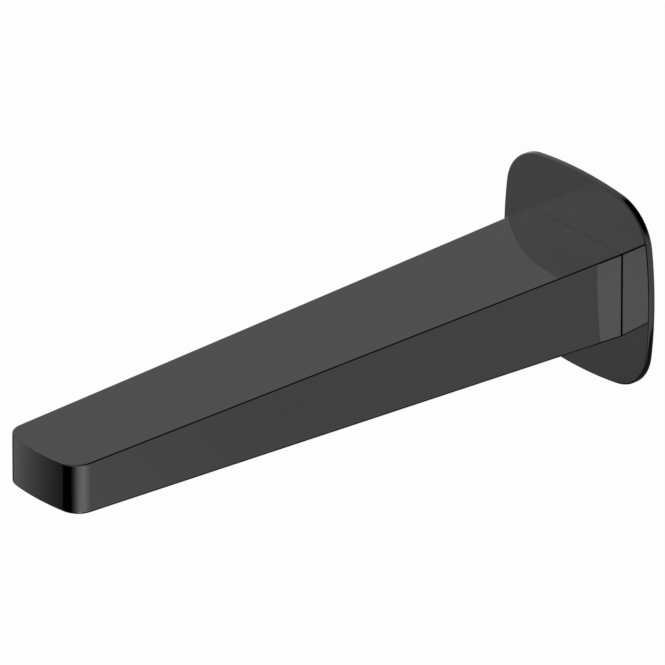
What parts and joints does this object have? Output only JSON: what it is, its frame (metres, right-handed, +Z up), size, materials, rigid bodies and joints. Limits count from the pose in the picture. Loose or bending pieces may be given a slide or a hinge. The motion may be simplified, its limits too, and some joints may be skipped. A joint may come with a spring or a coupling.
{
  "type": "bath spout",
  "caption": "Wall-mounted bath spout: a slim bar that tapers to a bowed nose, on a square cover plate with bowed sides and round corners, with a threaded inlet.",
  "frame": {"origin": "on the wall's face, on the axis of the water inlet", "axes": "+Y into the wall along the inlet, -Y out from the wall along the spout, +Z up, X level across the spout"},
  "size_m": [0.061, 0.2148, 0.061],
  "materials": {
    "gunmetal_body": "polished gunmetal plating on cast brass",
    "gunmetal_plate": "polished gunmetal plating on brass sheet",
    "gunmetal_ring": "satin gunmetal plating on turned brass",
    "raw_brass": "turned, bare",
    "screw_steel": "stainless",
    "screen_steel": "stainless mesh",
    "seal_rubber": "matt",
    "foam": "closed-cell foam",
    "aerator_plastic": "moulded",
    "grille_plastic": "moulded"
  },
  "bodies": {
    "root": {"spout_body": "gunmetal_body", "wall_plate": "gunmetal_plate", "plate_screws": "screw_steel", "plate_gasket": "foam", "inlet_nipple": "raw_brass", "nipple_o_ring_rear": "seal_rubber", "nipple_o_ring_front": "seal_rubber", "grub_screw": "screw_steel", "aerator_housing": "gunmetal_ring", "aerator_washer": "seal_rubber", "aerator_strainer": "aerator_plastic", "aerator_diffuser": "aerator_plastic", "aerator_cartridge": "aerator_plastic", "aerator_screen_upper": "screen_steel", "aerator_screen_lower": "screen_steel", "aerator_grille": "grille_plastic"}
  },
  "joints": []
}
